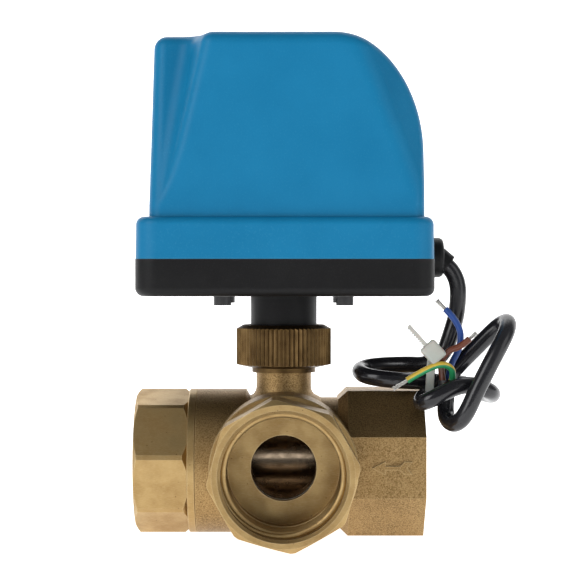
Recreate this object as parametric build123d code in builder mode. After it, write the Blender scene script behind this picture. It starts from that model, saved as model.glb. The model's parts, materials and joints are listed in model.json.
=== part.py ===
"""Three-way zone valve: a brass T-port ball valve, turned by a motor actuator that a knurled nut holds on.

Frame: millimetres, +Z up along the stem. The origin is on the stem's axis in the plane that the valve
stands on. The side ports lie along X and the third port faces -Y.
"""

import os
from math import acos, cos, pi, radians, sin, sqrt, tan

from build123d import *

os.makedirs("parts", exist_ok=True)

# ---------------------------------------------------------------- driving dimensions
# Valve
PORT_Z = 20.3  # height of the port axes, and half the width of the round arms
ARM_R = 20.3
BODY_R = 20.8
CAP_END = 41.5  # stem axis to the end face of a screwed-in cap
RIGHT_END = 39.1  # stem axis to the end face of the cast port
ARM_END = 24.4
COLLAR_END = 26.6
CAP_FLATS = 38.0
THREAD_R = 16.62  # major radius of a G1 pipe thread
RELIEF_R = 15.4
THREAD_FLOOR = 24.6
SHOULDER = 20.3  # stem axis to the flat floor inside a port
MOUTH_CHAMFER = 0.8
FLOW_R = 9.0
BALL_R = 17.0
CAVITY_R = 17.6
PASSAGE_R = 17.2  # the ball goes in through the left arm
SEAT_R = 12.0
SEAT_BACK = 18.2
SEAT_GAP = 0.06
SEAT_RING = 1.4  # side of the step behind a seat that holds its O-ring
NOSE_R = 14.4  # cap nose that carries a seat
NOSE_END = 15.2
SOCKET_R = 18.45  # threaded socket for a cap
SOCKET_FLOOR = 18.8

# Stem, neck and nut
NECK_R = 7.8
NECK_TOP = 51.2
STEM_R = 4.0
RUNNING_FIT = 0.05
COLLAR_R, COLLAR_BOTTOM, COLLAR_TOP = 6.2, 37.9, 39.9
WASHER_TOP = 40.5
TONGUE_BOTTOM, SLOT_BOTTOM = 33.4, 33.0
TONGUE_W, SLOT_W = 5.8, 6.0
FLATS_BOTTOM, FLATS_TOP, FLATS_W = 51.8, 62.0, 5.0
ORING_Z = (44.4, 47.8)
RING_BOTTOM, RING_TOP = 49.6, 50.7  # retaining ring in the neck's groove
NUT_R = 13.42
NUT_BOTTOM, LIP_TOP, KNURL_BOTTOM, KNURL_TOP, NUT_TOP = 45.5, 48.1, 47.7, 57.8, 58.9
NUT_TEETH = 64
SPIGOT_R, SPIGOT_BORE_R, SPIGOT_BOTTOM = 9.35, 6.7, 51.5

# Actuator housing
BASE_X = 0.35  # the housing's middle lies this far to the right of the stem
BASE_W, BASE_D = 81.1, 60.0
BASE_BOTTOM, FLOOR_TOP, SEAM, SKIRT_TOP, COVER_TOP = 67.35, 69.85, 77.45, 88.9, 139.0
WALL = 2.4
COVER_WALL = 2.2
CORNER_R = 6.0
COVER_LEFT, COVER_RIGHT, COVER_HALF_D = -36.6, 38.2, 27.0
SHOULDER_W, SHOULDER_H = 24.5, 32.0  # the cover's elliptical right shoulder
FOOT_X, FOOT_Y = 16.8, 17.4  # frame screws, whose heads show under the housing
CASE_SCREW_X, CASE_SCREW_Y = 35.2, 24.6

# Gear frame
PLATE_T = 1.5
PLATE_LOW, PLATE_HIGH = 84.0, 99.5  # undersides of the two plates
PLATE_X, PLATE_W, PLATE_D = -0.5, 61.0, 46.0
POST_R, STUD_R = 2.5, 1.5
SHAFT_R = 4.0
PIN_R = 1.5
PRESSURE = radians(25)
FLANK_STEPS = 4
PLAY = 0.06  # each tooth flank is cut back by this much
OUTPUT_TEETH, PINION_TEETH, OUTPUT_MODULE = 40, 12, 0.8
WHEEL_TEETH, MOTOR_TEETH, MOTOR_MODULE = 36, 12, 0.6
IDLER_X = -(OUTPUT_TEETH + PINION_TEETH) * OUTPUT_MODULE / 2
MOTOR_STEP = (WHEEL_TEETH + MOTOR_TEETH) * MOTOR_MODULE / 2
MOTOR_ANGLE = radians(40)  # direction from the idler to the motor's shaft
MOTOR_SHAFT = (IDLER_X + MOTOR_STEP * cos(MOTOR_ANGLE), MOTOR_STEP * sin(MOTOR_ANGLE))
GEAR_LOW, GEAR_HIGH = 86.4, 91.4
WHEEL_LOW, WHEEL_HIGH = 92.4, 96.4
MOTOR_CENTRE, MOTOR_R, MOTOR_TOP = (-8.5, 1.0), 22.5, 122.0
EAR_R = 25.6

# Limit switches
CAM_LOW, CAM_HIGH = 74.4, 79.4
CAM_R, LOBE_R = 7.2, 9.0
SWITCH_FACE = 10.4  # stem axis to the face that the plunger comes out of
SWITCH_DEPTH, SWITCH_LENGTH, SWITCH_HEIGHT = 10.2, 19.8, 6.4
SWITCH_LOW = 73.7
SWITCH_HOLE_X, SWITCH_HOLE_Y = 15.6, 4.75
PLUNGER_R, PLUNGER_TIP, PLUNGER_Z = 1.1, 9.3, 76.9

# Circuit board
BOARD_X, BOARD_W, BOARD_D, BOARD_Z, BOARD_T = 24.5, 16.0, 40.0, 106.0, 1.6

# Cable
CABLE_R = 2.33
CORE_R = 0.9
STRAND_R = 0.55
GLAND_Y, GLAND_Z, GLAND_R = -8.0, 77.9, 5.55
GLAND_FACE = 44.6
LEAD_X = 34.4  # where the internal leads rise beside the gear frame


SEAM_ANGLE = 130  # degrees from a turned shape's X to the seam in its surface


def finish(name, builder):
    """Labels a finished piece and writes it as its node's file."""
    builder.part.label = name
    export_step(builder.part, f"parts/{name}.step")


def port_plane(direction, turned_by=0.0):
    """A plane at the ball's centre with its Z out of a port; its X is up, turned about the port's axis."""
    up = Vector(0, 0, 1).rotate(Axis((0, 0, 0), direction), turned_by)
    return Plane(origin=(0, 0, PORT_Z), x_dir=up, z_dir=direction)


LEFT = port_plane((-1, 0, 0), 8)
FRONT = port_plane((0, -1, 0), 7)
RIGHT = port_plane((1, 0, 0))
REAR = port_plane((0, 1, 0))
BALL_CENTRE = Plane(origin=(0, 0, PORT_Z), z_dir=(1, 2, 3)).location  # a sphere's poles stay off the bores


def section_plane(plane):
    """A plane through the plane's Z axis, with radius along its X and height along its Y.

    It stands off the planes of symmetry, so that no surface's seam runs along one.
    """
    out = plane.x_dir.rotate(Axis((0, 0, 0), plane.z_dir), SEAM_ANGLE)
    return Plane(origin=plane.origin, x_dir=out, z_dir=out.cross(plane.z_dir))


def turn(plane, outline, mode=Mode.ADD):
    """Turns an outline of (radius, height) points about the plane's Z, in the open BuildPart."""
    with BuildSketch(section_plane(plane)) as section:
        with BuildLine():
            Polyline(*outline, close=True)
        make_face()
    revolve(section.sketch, axis=Axis(plane.origin, plane.z_dir), mode=mode)


def bar(plane, radius, low, high, mode=Mode.ADD):
    """A round bar along the plane's Z, in the open BuildPart."""
    turn(plane, [(0, low), (radius, low), (radius, high), (0, high)], mode)


def ring(plane, inner, outer, low, high, mode=Mode.ADD):
    """A plain ring about the plane's Z, in the open BuildPart."""
    turn(plane, [(inner, low), (outer, low), (outer, high), (inner, high)], mode)


def at(x, y, z=0.0):
    """A level plane at that point."""
    return Plane(origin=(x, y, z))


def corners(x, y):
    """The four points of a rectangle about the stem."""
    return [(x, y), (-x, y), (-x, -y), (x, -y)]


def screw(plane, shank_r, length, head_r, head_h, slot=0.6):
    """A cheese-head screw whose head stands on the plane, with its shank down, in the open BuildPart."""
    bar(plane, shank_r, -length, 0)
    bar(plane, head_r, 0, head_h)
    with BuildSketch(plane.offset(head_h / 2)) as cut:
        Rectangle(2 * head_r + 1, slot)
    extrude(cut.sketch, amount=head_h, mode=Mode.SUBTRACT)


def port_bore(plane, end):
    """A port's thread bore, mouth chamfer, thread relief and flow bore, cut in the open BuildPart."""
    turn(
        plane,
        [
            (0, NOSE_END - 4),
            (FLOW_R, NOSE_END - 4),
            (FLOW_R, SHOULDER),
            (RELIEF_R, SHOULDER),
            (RELIEF_R, THREAD_FLOOR),
            (THREAD_R, THREAD_FLOOR + (THREAD_R - RELIEF_R) / 2),
            (THREAD_R, end - MOUTH_CHAMFER),
            (THREAD_R + MOUTH_CHAMFER, end),
            (0, end),
        ],
        Mode.SUBTRACT,
    )


# ---------------------------------------------------------------- valve body
ROOT_FILLET = 3.0
ROOT_SPHERE_R = BODY_R - 0.15  # the root's arc runs in under the round surface
ROOT_HEIGHT = sqrt((ROOT_SPHERE_R + ROOT_FILLET) ** 2 - (NECK_R + ROOT_FILLET) ** 2)
ROOT_Z = PORT_Z + ROOT_HEIGHT
ROOT_TIP_R = (NECK_R + ROOT_FILLET) * ROOT_SPHERE_R / (ROOT_SPHERE_R + ROOT_FILLET)
ROOT_TIP_Z = PORT_Z + ROOT_HEIGHT * ROOT_SPHERE_R / (ROOT_SPHERE_R + ROOT_FILLET)
VALLEY_R = 17.9
RIGHT_SLOPE = (15.3, 17.9)
REAR_BOSS_R, REAR_BOSS_END = 15.2, 20.9
ARROW_TIP, ARROW_TAIL = 24.2, 35.2
ARROW_H = 0.6

with BuildPart() as valve_body:
    # round middle, cut flat where it stands
    with Locations(BALL_CENTRE):
        Sphere(BODY_R)
    split(bisect_by=Plane.XY, keep=Keep.TOP)
    # saddle along X and boss at the rear
    bar(RIGHT, VALLEY_R, -12, 16)
    bar(REAR, REAR_BOSS_R, 0, REAR_BOSS_END)
    chamfer(valve_body.edges().sort_by(Axis.Y)[-1], 2)
    # round arms for the caps
    for arm in (LEFT, FRONT):
        turn(arm, [(0, 0), (VALLEY_R - 0.4, 9.0), (ARM_R, 10.6), (ARM_R, ARM_END), (0, ARM_END)])
    # octagonal right port with its sloping root
    with BuildSketch(RIGHT.offset(RIGHT_SLOPE[0])) as root:
        RegularPolygon(VALLEY_R, 8, major_radius=False, rotation=22.5)
    with BuildSketch(RIGHT.offset(RIGHT_SLOPE[1])) as octagon:
        RegularPolygon(ARM_R, 8, major_radius=False, rotation=22.5)
    loft([root.sketch, octagon.sketch])
    extrude(octagon.sketch, amount=RIGHT_END - RIGHT_SLOPE[1])
    # cast arrow on the right port's front flat: the shaft with its fins, then the head
    with BuildSketch(Plane.XZ.offset(ARM_R)) as arrow:
        for side in (1, -1):
            with BuildLine():
                Polyline(
                    (ARROW_TIP + 3, PORT_Z),
                    (ARROW_TAIL - 1.6, PORT_Z),
                    (ARROW_TAIL, PORT_Z + side * 1.7),
                    (ARROW_TAIL - 2.2, PORT_Z + side * 1.7),
                    (ARROW_TAIL - 3.4, PORT_Z + side * 0.5),
                    (ARROW_TIP + 3, PORT_Z + side * 0.5),
                    close=True,
                )
            make_face()
        with BuildLine():
            Polyline(
                (ARROW_TIP, PORT_Z),
                (ARROW_TIP + 3.6, PORT_Z + 1.8),
                (ARROW_TIP + 3.6, PORT_Z - 1.8),
                close=True,
            )
        make_face()
    extrude(arrow.sketch, amount=ARROW_H)
    # neck with its round root
    with BuildSketch(section_plane(Plane.XY)) as neck:
        with BuildLine():
            Polyline(
                (NECK_R, ROOT_Z),
                (NECK_R, NECK_TOP),
                (0, NECK_TOP),
                (0, PORT_Z),
                (ROOT_TIP_R, ROOT_TIP_Z),
            )
            RadiusArc((ROOT_TIP_R, ROOT_TIP_Z), (NECK_R, ROOT_Z), ROOT_FILLET)
        make_face()
    revolve(neck.sketch, axis=Axis.Z)
    # inside
    with Locations(BALL_CENTRE):
        Sphere(CAVITY_R, mode=Mode.SUBTRACT)
    bar(LEFT, PASSAGE_R, 0, SOCKET_FLOOR, Mode.SUBTRACT)
    bar(FRONT, NOSE_R + 0.1, 0, SOCKET_FLOOR, Mode.SUBTRACT)
    for arm in (LEFT, FRONT):
        bar(arm, SOCKET_R, SOCKET_FLOOR, ARM_END, Mode.SUBTRACT)
    for arm in (RIGHT, REAR):
        bar(arm, SEAT_R + RUNNING_FIT, 0, SEAT_BACK, Mode.SUBTRACT)
    port_bore(RIGHT, RIGHT_END)
    bar(Plane.XY, COLLAR_R + 0.1, PORT_Z, WASHER_TOP, Mode.SUBTRACT)
    bar(Plane.XY, STEM_R + RUNNING_FIT, PORT_Z, NECK_TOP, Mode.SUBTRACT)
    ring(Plane.XY, NECK_R - 0.8, NECK_R + 1, RING_BOTTOM - 0.05, RING_TOP + 0.05, Mode.SUBTRACT)
finish("valve_body", valve_body)


# ---------------------------------------------------------------- end caps
def end_cap(plane):
    """A screwed-in cap: turned collar, eight flats, male thread and the nose that carries a seat."""
    with BuildPart() as cap:
        with BuildSketch(plane.offset(COLLAR_END)) as flats:
            RegularPolygon(CAP_FLATS / 2, 8, major_radius=False)
        extrude(flats.sketch, amount=CAP_END - COLLAR_END)
        turn(
            plane,
            [
                (0, COLLAR_END),
                (CAP_FLATS / 2 + 0.3, COLLAR_END),
                (ARM_R, COLLAR_END + 1.2),
                (ARM_R, CAP_END - 1.0),
                (ARM_R - 1.4, CAP_END),
                (0, CAP_END),
            ],
            Mode.INTERSECT,
        )
        turn(
            plane,
            [
                (0, NOSE_END),
                (NOSE_R, NOSE_END),
                (NOSE_R, SOCKET_FLOOR + 0.05),
                (SOCKET_R - 0.7, SOCKET_FLOOR + 0.05),
                (SOCKET_R - RUNNING_FIT, SOCKET_FLOOR + 0.75),
                (SOCKET_R - RUNNING_FIT, ARM_END - 1.5),
                (SOCKET_R - 1.5, ARM_END - 1.5),
                (SOCKET_R - 1.5, ARM_END),
                (ARM_R - 0.2, ARM_END),
                (ARM_R, ARM_END + 0.2),
                (ARM_R, COLLAR_END - 0.2),
                (ARM_R - 0.2, COLLAR_END),
                (0, COLLAR_END),
            ],
        )
        bar(plane, SEAT_R + RUNNING_FIT, NOSE_END - 1, SEAT_BACK, Mode.SUBTRACT)
        port_bore(plane, CAP_END)
    return cap


finish("left_end_cap", end_cap(LEFT))
finish("front_end_cap", end_cap(FRONT))

with BuildPart() as ball_seats:
    for plane in (LEFT, RIGHT, FRONT, REAR):
        with BuildSketch(section_plane(plane)) as section:
            with Locations(((FLOW_R + 0.2 + SEAT_R) / 2, (SEAT_R + 0.2 + SEAT_BACK) / 2)):
                Rectangle(SEAT_R - FLOW_R - 0.2, SEAT_BACK - SEAT_R - 0.2)
            with Locations((SEAT_R, SEAT_BACK)):
                Rectangle(2 * SEAT_RING, 2 * SEAT_RING, mode=Mode.SUBTRACT)
            Circle(BALL_R + SEAT_GAP, mode=Mode.SUBTRACT)
        revolve(section.sketch, axis=Axis(plane.origin, plane.z_dir))
finish("ball_seats", ball_seats)

with BuildPart() as seat_o_rings:
    for plane in (LEFT, RIGHT, FRONT, REAR):
        inner, low = SEAT_R - SEAT_RING, SEAT_BACK - SEAT_RING
        ring(plane, inner + 0.05, SEAT_R - 0.05, low + 0.05, SEAT_BACK - 0.05)
finish("seat_o_rings", seat_o_rings)

with BuildPart() as cap_o_rings:
    for plane in (LEFT, FRONT):
        ring(plane, SOCKET_R - 1.45, SOCKET_R - 0.1, ARM_END - 1.45, ARM_END - 0.05)
finish("cap_o_rings", cap_o_rings)

# ---------------------------------------------------------------- ball and stem
with BuildPart() as ball:
    with Locations(BALL_CENTRE):
        Sphere(BALL_R)
    bar(RIGHT, FLOW_R, -BALL_R, BALL_R, Mode.SUBTRACT)
    bar(FRONT, FLOW_R, 0, BALL_R, Mode.SUBTRACT)
    with BuildSketch(Plane.XY.offset(SLOT_BOTTOM)):
        Rectangle(2 * BALL_R, SLOT_W)
    extrude(amount=BALL_R, mode=Mode.SUBTRACT)
finish("ball", ball)

with BuildPart() as stem:
    bar(Plane.XY, COLLAR_R, TONGUE_BOTTOM, COLLAR_BOTTOM)
    with BuildSketch(Plane.XY.offset(TONGUE_BOTTOM)):
        Rectangle(2 * COLLAR_R, TONGUE_W)
    extrude(amount=COLLAR_BOTTOM - TONGUE_BOTTOM, mode=Mode.INTERSECT)
    bar(Plane.XY, COLLAR_R, COLLAR_BOTTOM, COLLAR_TOP)
    bar(Plane.XY, STEM_R, COLLAR_TOP, FLATS_BOTTOM)
    with BuildSketch(Plane.XY.offset(FLATS_BOTTOM)):
        Circle(STEM_R)
        Rectangle(2 * STEM_R, FLATS_W, mode=Mode.INTERSECT)
    extrude(amount=FLATS_TOP - FLATS_BOTTOM)
    for height in ORING_Z:
        ring(Plane.XY, STEM_R - 1.0, STEM_R + 1, height - 0.65, height + 0.65, Mode.SUBTRACT)
finish("stem", stem)

with BuildPart() as stem_o_rings:
    for height in ORING_Z:
        with Locations((0, 0, height)):
            Torus(STEM_R - 0.5, 0.5)
finish("stem_o_rings", stem_o_rings)

with BuildPart() as stem_thrust_washer:
    ring(Plane.XY, STEM_R + RUNNING_FIT, COLLAR_R, COLLAR_TOP + 0.05, WASHER_TOP - 0.05)
finish("stem_thrust_washer", stem_thrust_washer)

# ---------------------------------------------------------------- neck fixing
with BuildPart() as neck_retaining_ring:
    ring(Plane.XY, NECK_R - 0.75, NECK_R + 1.2, RING_BOTTOM, RING_TOP)
    with BuildSketch(at(0, -NECK_R, RING_BOTTOM)):
        Rectangle(5, 5)
    extrude(amount=RING_TOP - RING_BOTTOM, mode=Mode.SUBTRACT)
finish("neck_retaining_ring", neck_retaining_ring)

with BuildPart() as nut_slip_washer:
    ring(Plane.XY, NECK_R + 0.1, SPIGOT_R - 0.05, LIP_TOP + 0.1, RING_BOTTOM - 0.15)
finish("nut_slip_washer", nut_slip_washer)

KNURL_DEPTH = 0.5
tooth_step = pi / NUT_TEETH
knurl_points = [
    (
        (NUT_R - KNURL_DEPTH * (step % 2)) * cos(step * tooth_step),
        (NUT_R - KNURL_DEPTH * (step % 2)) * sin(step * tooth_step),
    )
    for step in range(2 * NUT_TEETH)
]
with BuildPart() as coupling_nut:
    with BuildSketch(Plane.XY.offset(NUT_BOTTOM)):
        with BuildLine():
            Polyline(*knurl_points, close=True)
        make_face()
    extrude(amount=NUT_TOP - NUT_BOTTOM)
    turn(
        Plane.XY,
        [
            (0, NUT_BOTTOM),
            (NECK_R + 1.2, NUT_BOTTOM),
            (NECK_R + 1.2, NUT_BOTTOM + 1.2),
            (NUT_R - 3.6, NUT_BOTTOM + 1.4),
            (NUT_R, KNURL_BOTTOM),
            (NUT_R, KNURL_TOP),
            (NUT_R - 1.9, NUT_TOP),
            (0, NUT_TOP),
        ],
        Mode.INTERSECT,
    )
    bar(Plane.XY, NECK_R + 0.3, NUT_BOTTOM, LIP_TOP, Mode.SUBTRACT)
    turn(
        Plane.XY,
        [
            (0, LIP_TOP),
            (SPIGOT_R + 0.1, LIP_TOP),
            (SPIGOT_R + 0.1, NUT_TOP - 0.6),
            (SPIGOT_R + 0.7, NUT_TOP),
            (0, NUT_TOP),
        ],
        Mode.SUBTRACT,
    )
finish("coupling_nut", coupling_nut)

# ---------------------------------------------------------------- spigot and output shaft
FLANGE_R, FLANGE_TOP = 13.0, 71.85
SPIGOT_SCREW_R = 11.2
SHAFT_FOOT, SHAFT_SHOULDER, SHAFT_TOP = 52.2, 72.3, 100.8
HUB_R, HUB_TOP, PIN_Z = 7.0, 95.6, 93.6

with BuildPart() as mounting_spigot:
    turn(
        Plane.XY,
        [
            (SPIGOT_BORE_R, SPIGOT_BOTTOM),
            (SPIGOT_R - 0.6, SPIGOT_BOTTOM),
            (SPIGOT_R, SPIGOT_BOTTOM + 0.6),
            (SPIGOT_R, FLOOR_TOP),
            (FLANGE_R, FLOOR_TOP),
            (FLANGE_R, FLANGE_TOP),
            (SPIGOT_BORE_R, FLANGE_TOP),
        ],
    )
    for place in PolarLocations(SPIGOT_SCREW_R, 3, start_angle=90):
        bar(at(place.position.X, place.position.Y), 1.05, FLOOR_TOP, FLANGE_TOP, Mode.SUBTRACT)
finish("mounting_spigot", mounting_spigot)

with BuildPart() as spigot_screws:
    for place in PolarLocations(SPIGOT_SCREW_R, 3, start_angle=90):
        screw(at(place.position.X, place.position.Y, FLANGE_TOP), 1.0, 4.2, 1.6, 1.2)
finish("spigot_screws", spigot_screws)

with BuildPart() as output_shaft:
    bar(Plane.XY, SPIGOT_BORE_R - 0.1, SHAFT_FOOT, SHAFT_SHOULDER)
    bar(Plane.XY, SHAFT_R, SHAFT_SHOULDER, SHAFT_TOP)
    with BuildSketch(Plane.XY.offset(SHAFT_FOOT)):
        Circle(STEM_R + RUNNING_FIT)
        Rectangle(3 * STEM_R, FLATS_W + 0.1, mode=Mode.INTERSECT)
    extrude(amount=FLATS_TOP - SHAFT_FOOT + 0.5, mode=Mode.SUBTRACT)
    bar(Plane(origin=(0, 0, PIN_Z), z_dir=(1, 0, 0)), 0.8, -HUB_R, HUB_R, Mode.SUBTRACT)
finish("output_shaft", output_shaft)

# ---------------------------------------------------------------- housing base
CASE_SCREWS = [(BASE_X + x, y) for x, y in corners(CASE_SCREW_X, CASE_SCREW_Y)]
FEET = corners(FOOT_X, FOOT_Y)
SWITCH_HOLES = [(side * SWITCH_HOLE_X, y) for side in (1, -1) for y in (SWITCH_HOLE_Y, -SWITCH_HOLE_Y)]
CASE_BOSS_R = 3.7
HEAD_POCKET_R, HEAD_POCKET_H = 3.1, 2.2
RIM_STEP = 1.3
CABLE_HOLE = Plane(origin=(0, GLAND_Y, GLAND_Z), x_dir=(0, 1, 0), z_dir=(1, 0, 0))
HOLE_R = GLAND_R - 1.1

with BuildPart() as actuator_base:
    with BuildSketch(at(BASE_X, 0, BASE_BOTTOM)):
        RectangleRounded(BASE_W, BASE_D, CORNER_R)
    extrude(amount=SEAM - BASE_BOTTOM)
    fillet(actuator_base.faces().sort_by(Axis.Z)[0].edges(), 2.3)
    with BuildSketch(at(BASE_X, 0, FLOOR_TOP)):
        RectangleRounded(BASE_W - 2 * WALL, BASE_D - 2 * WALL, CORNER_R - WALL)
    extrude(amount=SEAM - FLOOR_TOP, mode=Mode.SUBTRACT)
    with BuildSketch(Plane.XY.offset(FLOOR_TOP)):
        with Locations(*CASE_SCREWS):
            Circle(CASE_BOSS_R)
    extrude(amount=SEAM - FLOOR_TOP)
    with BuildSketch(Plane.XY.offset(FLOOR_TOP)):
        with Locations(*SWITCH_HOLES):
            Circle(2.4)
    extrude(amount=SWITCH_LOW - FLOOR_TOP)
    # step in the rim for the gasket
    with BuildSketch(at(BASE_X, 0, SEAM - 1)):
        RectangleRounded(BASE_W - 2 * RIM_STEP, BASE_D - 2 * RIM_STEP, CORNER_R - RIM_STEP)
    extrude(amount=2, mode=Mode.SUBTRACT)
    bar(Plane.XY, SPIGOT_R + 0.1, BASE_BOTTOM, FLOOR_TOP, Mode.SUBTRACT)
    for x, y in CASE_SCREWS:
        bar(at(x, y), HEAD_POCKET_R, BASE_BOTTOM, BASE_BOTTOM + HEAD_POCKET_H, Mode.SUBTRACT)
        bar(at(x, y), 1.6, BASE_BOTTOM, SEAM, Mode.SUBTRACT)
    for x, y in FEET:
        bar(at(x, y), 1.6, BASE_BOTTOM, FLOOR_TOP, Mode.SUBTRACT)
    for x, y in SWITCH_HOLES:
        bar(at(x, y), 0.85, FLOOR_TOP + 0.6, SWITCH_LOW, Mode.SUBTRACT)
    for place in PolarLocations(SPIGOT_SCREW_R, 3, start_angle=90):
        bar(at(place.position.X, place.position.Y), 1.05, FLOOR_TOP - 2.3, FLOOR_TOP, Mode.SUBTRACT)
    bar(CABLE_HOLE, HOLE_R, 36, 44, Mode.SUBTRACT)
finish("actuator_base", actuator_base)

with BuildPart() as cover_gasket:
    with BuildSketch(at(BASE_X, 0, SEAM - 1)):
        RectangleRounded(BASE_W - 2 * RIM_STEP - 0.1, BASE_D - 2 * RIM_STEP - 0.1, CORNER_R - RIM_STEP)
        RectangleRounded(BASE_W - 2 * WALL, BASE_D - 2 * WALL, CORNER_R - WALL, mode=Mode.SUBTRACT)
    extrude(amount=1)
    with BuildSketch(Plane.XY.offset(SEAM - 1)):
        with Locations((40, GLAND_Y)):
            Rectangle(6, 2 * GLAND_R)
    extrude(amount=1, mode=Mode.SUBTRACT)
finish("cover_gasket", cover_gasket)

with BuildPart() as case_screws:
    for x, y in CASE_SCREWS:
        head = Plane(origin=(x, y, BASE_BOTTOM + HEAD_POCKET_H), x_dir=(1, 0, 0), z_dir=(0, 0, -1))
        screw(head, 1.5, 15.0, 2.9, 1.7)
finish("case_screws", case_screws)

# ---------------------------------------------------------------- cover
SKIRT_DRAFT = 0.8  # degrees
LEDGE_FILLET = 2.2
TOP_FILLET = 3.6
SCOOP_LOW = 90.0  # the hollow of the front left corner runs out here
SCOOP_SLOPE = 12.0 / 49.0  # how fast it deepens with height
SCOOP_LINE = (Vector(-32.7, -COVER_HALF_D, SCOOP_LOW), Vector(-20.8, -COVER_HALF_D, COVER_TOP))
SCOOP_SIDE = Vector(-4.5, 12.0, 0)
FACET_LINE = (Vector(37.4, -COVER_HALF_D, 93.5), Vector(23.2, -COVER_HALF_D, 130.0))
FACET_SIDE = Vector(1, 0.9, 0)


def slant(line, across, outward, inset):
    """The plane of a line and a direction, facing outward and moved in by the inset."""
    normal = (line[1] - line[0]).cross(across).normalized()
    if normal.dot(outward) < 0:
        normal = -normal
    return Plane(origin=line[0] - normal * inset, z_dir=normal)


def upper_cover(inset):
    """The upper cover as a solid, moved in by the inset on every side."""
    left, right, top = COVER_LEFT + inset, COVER_RIGHT - inset, COVER_TOP - inset
    half_depth = COVER_HALF_D - inset
    middle = (COVER_RIGHT - SHOULDER_W, COVER_TOP - SHOULDER_H)
    floor_line = (SCOOP_LINE[0], SCOOP_LINE[0] + Vector(1, 0, 0))
    with BuildPart() as hollow:
        with Locations((COVER_LEFT, -COVER_HALF_D, COVER_TOP)):
            Box(100, 100, 150)
        floor_plane = slant(floor_line, Vector(0, SCOOP_SLOPE, 1), Vector(0, -1, 0), inset)
        split(bisect_by=floor_plane, keep=Keep.TOP)
        split(bisect_by=slant(SCOOP_LINE, SCOOP_SIDE, Vector(-1, 0, 0), inset), keep=Keep.TOP)
    with BuildPart() as block:
        with BuildSketch(Plane.XZ.offset(-half_depth)):
            with BuildLine():
                Polyline((right, middle[1]), (right, SEAM), (left, SEAM), (left + 0.8, top), (middle[0], top))
                EllipticalCenterArc(middle, SHOULDER_W - inset, SHOULDER_H - inset, start_angle=0, arc_size=90)
            make_face()
        extrude(amount=2 * half_depth)
        add(hollow.part, mode=Mode.SUBTRACT)
        split(bisect_by=slant(FACET_LINE, FACET_SIDE, Vector(0, -1, 0), inset), keep=Keep.BOTTOM)
    return block


def sharp_edges(part, above):
    """Edges above a height where two faces meet at a clear angle."""
    found = []
    for edge in part.edges():
        middle = edge.position_at(0.5)
        sides = [face for face in part.faces() if any(edge.is_same(other) for other in face.edges())]
        if middle.Z > above and sides[0].normal_at(middle).get_angle(sides[1].normal_at(middle)) > 15:
            found.append(edge)
    return found


COVER_BOSS_TOP = 87.0

with BuildPart() as cover_skirt:
    with BuildSketch(at(BASE_X, 0, SEAM)):
        RectangleRounded(BASE_W - 0.2, BASE_D - 0.2, CORNER_R)
    extrude(amount=SKIRT_TOP - SEAM, taper=SKIRT_DRAFT)
    fillet(cover_skirt.faces().sort_by(Axis.Z)[-1].edges(), LEDGE_FILLET)

with BuildPart() as cover:
    add(upper_cover(0).part)
    fillet(cover.edges().sort_by_distance((SCOOP_LINE[1] + SCOOP_SIDE + SCOOP_LINE[0]) / 2)[0], 5)
    fillet(cover.edges().sort_by_distance((FACET_LINE[0] + FACET_LINE[1]) / 2)[0], 8)
    fillet(sharp_edges(cover.part, SEAM + 1), TOP_FILLET)
    add(cover_skirt.part)
    add(upper_cover(COVER_WALL).part, mode=Mode.SUBTRACT)
    with BuildSketch(at(BASE_X, 0, SEAM)):
        RectangleRounded(BASE_W - 2 * WALL, BASE_D - 2 * WALL, CORNER_R - WALL)
    extrude(amount=SKIRT_TOP - COVER_WALL - SEAM, mode=Mode.SUBTRACT)
    with BuildSketch(Plane.XY.offset(SEAM)):
        with Locations(*CASE_SCREWS):
            Circle(CASE_BOSS_R)
    extrude(amount=COVER_BOSS_TOP - SEAM)
    for x, y in CASE_SCREWS:
        bar(at(x, y), 1.55, SEAM - 1, COVER_BOSS_TOP - 1.5, Mode.SUBTRACT)
    bar(CABLE_HOLE, HOLE_R, 36, 43, Mode.SUBTRACT)
finish("cover", cover)

# ---------------------------------------------------------------- gear frame
UPPER_TOP = PLATE_HIGH + PLATE_T
BUSH_R, BUSH_FLANGE_R = 5.45, 7.0
MOTOR_BOSS_R = 3.5
EARS = [(MOTOR_CENTRE[0] + out, MOTOR_CENTRE[1] - out) for out in (EAR_R / sqrt(2), -EAR_R / sqrt(2))]
STANDOFFS = [(21.0, y) for y in (17.2, -17.2)]
FRAME_SCREW_R = 1.3
BOARD_SCREW_R = 1.2


def gear_plate(low, holes):
    """A flat plate across the housing, drilled with (x, y, radius) holes."""
    with BuildPart() as plate:
        with BuildSketch(at(PLATE_X, 0, low)):
            RectangleRounded(PLATE_W, PLATE_D, 4)
        extrude(amount=PLATE_T)
        for x, y, radius in holes:
            bar(at(x, y), radius, low, low + PLATE_T, Mode.SUBTRACT)
    return plate


SHARED_HOLES = [(0, 0, BUSH_R), (IDLER_X, 0, PIN_R)] + [(x, y, STUD_R) for x, y in FEET]
MOTOR_HOLES = [(*MOTOR_SHAFT, MOTOR_BOSS_R)] + [(x, y, 1.25) for x, y in EARS]
finish("lower_gear_plate", gear_plate(PLATE_LOW, SHARED_HOLES))
finish("upper_gear_plate", gear_plate(PLATE_HIGH, SHARED_HOLES + MOTOR_HOLES))

with BuildPart() as lower_posts:
    for x, y in FEET:
        bar(at(x, y), POST_R, FLOOR_TOP, PLATE_LOW)
        bar(at(x, y), STUD_R, PLATE_LOW, PLATE_LOW + PLATE_T + 3)
        bar(at(x, y), FRAME_SCREW_R, FLOOR_TOP, FLOOR_TOP + 8, Mode.SUBTRACT)
finish("lower_posts", lower_posts)

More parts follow.
